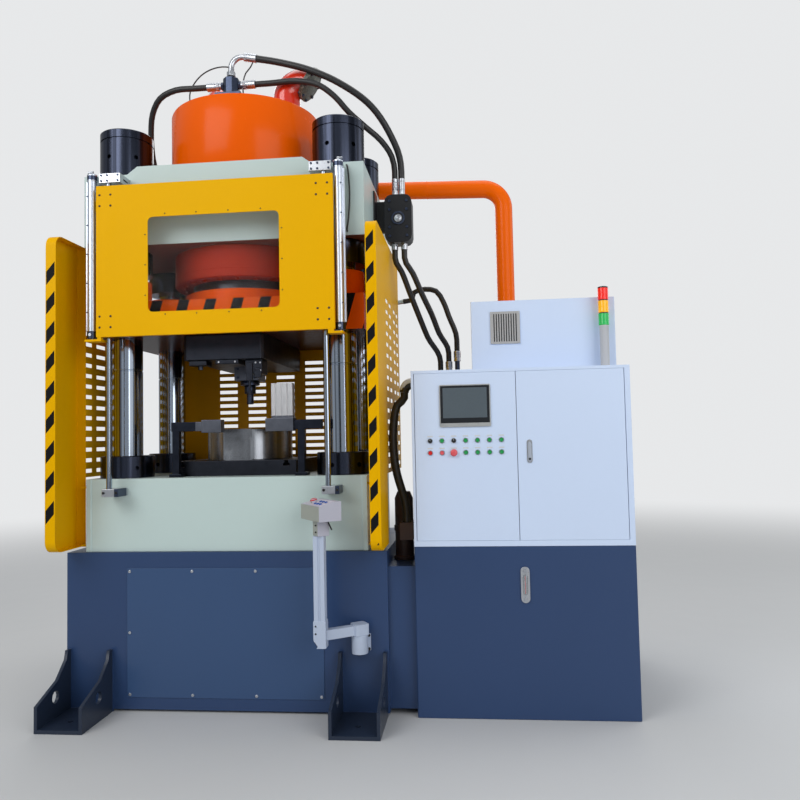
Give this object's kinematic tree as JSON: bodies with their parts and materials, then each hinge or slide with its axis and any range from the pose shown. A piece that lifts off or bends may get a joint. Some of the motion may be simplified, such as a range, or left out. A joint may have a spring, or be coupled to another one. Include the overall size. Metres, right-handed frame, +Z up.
{
  "type": "hydraulic press",
  "caption": "Four-column hydraulic press with a windowed guard door, striped side guards, prefill tank, oil tank, electric cabinet and an operator's pendant.",
  "frame": {"origin": "middle of the footprint, on the floor", "axes": "+Z up, +X from the press towards the cabinet, +Y from the operator's side to the rear"},
  "size_m": [3.2434, 1.765, 3.9754],
  "materials": {
    "slate_paint": "slate blue gloss paint",
    "slate_cover_paint": "slate blue paint",
    "pale_green_paint": "pale green-grey gloss paint",
    "chromed_steel": "hard chrome, with black oxide nuts",
    "orange_paint": "orange gloss paint",
    "dark_ram_steel": "oiled dark steel",
    "blackened_steel": "blackened tool steel",
    "ground_steel": "ground steel",
    "dark_fitting_steel": "blackened and zinc plated steel",
    "guard_yellow_paint": "safety yellow paint with black bands",
    "clear_pane": "clear polycarbonate",
    "bright_aluminium": "clear anodised",
    "motor_paint": "blue motor paint",
    "pump_paint": "brown motor paint",
    "pipe_orange_paint": "orange gloss paint",
    "block_black": "black satin",
    "cabinet_white_paint": "cool white textured powder coat",
    "screen_bezel": "grey bezel round black glass",
    "stop_red": "red push button",
    "knob_black": "black selector knob",
    "zinc_plate": "zinc plated plate with switchgear",
    "tower_grey": "grey base with red, amber and green lenses",
    "pendant_grey": "white grey powder coat",
    "black_rubber": "smooth black rubber"
  },
  "bodies": {
    "frame": {"plinth": "slate_paint", "plinth_cover": "slate_cover_paint", "bed": "pale_green_paint", "crown": "pale_green_paint", "column_front_left": "chromed_steel", "column_front_right": "chromed_steel", "column_rear_left": "chromed_steel", "column_rear_right": "chromed_steel", "main_cylinder": "orange_paint", "prefill_tank": "orange_paint", "head_block": "dark_fitting_steel", "bolster": "blackened_steel", "die_ring": "ground_steel", "clamp_left": "dark_fitting_steel", "clamp_right": "dark_fitting_steel", "guide_rod_left": "ground_steel", "guide_rod_right": "ground_steel", "lift_cylinder_left": "bright_aluminium", "lift_cylinder_right": "bright_aluminium", "guard_left": "guard_yellow_paint", "guard_right": "guard_yellow_paint", "guard_rear": "guard_yellow_paint", "oil_tank": "slate_paint", "level_gauge": "bright_aluminium", "pump_motor": "motor_paint", "valve_manifold": "dark_fitting_steel", "transfer_pump": "pump_paint", "return_pipe": "pipe_orange_paint", "valve_block": "block_black", "cabinet_shell": "cabinet_white_paint", "mounting_plate": "zinc_plate", "upper_box": "cabinet_white_paint", "signal_tower": "tower_grey", "pendant_bracket": "pendant_grey", "hose_main": "black_rubber", "hose_second": "black_rubber", "hose_left": "black_rubber", "hose_side_a": "black_rubber", "hose_side_b": "black_rubber", "hose_return": "black_rubber", "hose_trunk": "black_rubber"},
    "slide": {"slide": "orange_paint", "ram": "dark_ram_steel", "upper_die_plate": "blackened_steel", "punch": "ground_steel"},
    "guard_door": {"door_panel": "guard_yellow_paint", "door_window": "clear_pane", "lift_rod_left": "ground_steel", "lift_rod_right": "ground_steel"},
    "left_door": {"cabinet_door_left": "cabinet_white_paint", "touch_screen": "screen_bezel"},
    "selector_left": {"selector_left": "knob_black"},
    "selector_right": {"selector_right": "knob_black"},
    "button_red_left": {"button_red_left": "stop_red"},
    "button_red_right": {"button_red_right": "stop_red"},
    "emergency_stop": {"emergency_stop": "stop_red"},
    "right_door": {"cabinet_door_right": "cabinet_white_paint"},
    "latch": {"cabinet_latch": "dark_fitting_steel"},
    "pendant_arm": {"pendant_arm": "pendant_grey"},
    "pendant_box": {"pendant_box": "pendant_grey"}
  },
  "joints": [
    {"name": "slide_travel", "type": "slide", "parent": "frame", "child": "slide", "axis": [0, 0, -1], "range_m": [0, 0.28]},
    {"name": "guard_door_travel", "type": "slide", "parent": "frame", "child": "guard_door", "axis": [0, 0, -1], "range_m": [0, 0.82]},
    {"name": "cabinet_door_left_swing", "type": "hinge", "parent": "frame", "child": "left_door", "pos_m": [0.4457, -0.557, 0.9323], "axis": [0, 0, -1], "range_deg": [0, 105]},
    {"name": "cabinet_door_right_swing", "type": "hinge", "parent": "frame", "child": "right_door", "pos_m": [1.5827, -0.557, 0.9323], "axis": [0, 0, 1], "range_deg": [0, 105]},
    {"name": "latch_lift", "type": "hinge", "parent": "right_door", "child": "latch", "pos_m": [1.0697, -0.5675, 1.5013], "axis": [-1, 0, 0], "range_deg": [0, 35]},
    {"name": "selector_left_turn", "type": "hinge", "parent": "left_door", "child": "selector_left", "pos_m": [0.5233, -0.563, 1.5163], "axis": [0, 1, 0], "range_deg": [-45, 45]},
    {"name": "selector_right_turn", "type": "hinge", "parent": "left_door", "child": "selector_right", "pos_m": [0.6547, -0.563, 1.5163], "axis": [0, 1, 0], "range_deg": [-45, 45]},
    {"name": "button_red_left_press", "type": "slide", "parent": "left_door", "child": "button_red_left", "axis": [0, 1, 0], "range_m": [0, 0.004], "stiffness_N_per_m": 500},
    {"name": "button_red_right_press", "type": "slide", "parent": "left_door", "child": "button_red_right", "axis": [0, 1, 0], "range_m": [0, 0.004], "stiffness_N_per_m": 500},
    {"name": "emergency_stop_press", "type": "slide", "parent": "left_door", "child": "emergency_stop", "axis": [0, 1, 0], "range_m": [0, 0.006]},
    {"name": "pendant_swing", "type": "hinge", "parent": "frame", "child": "pendant_arm", "pos_m": [0.1123, -0.595, 0.36], "axis": [0, 0, 1], "range_deg": [0, 30]},
    {"name": "pendant_turn", "type": "hinge", "parent": "pendant_arm", "child": "pendant_box", "pos_m": [-0.0777, -0.728, 1], "axis": [0, 0, 1], "range_deg": [-90, 90]}
  ]
}
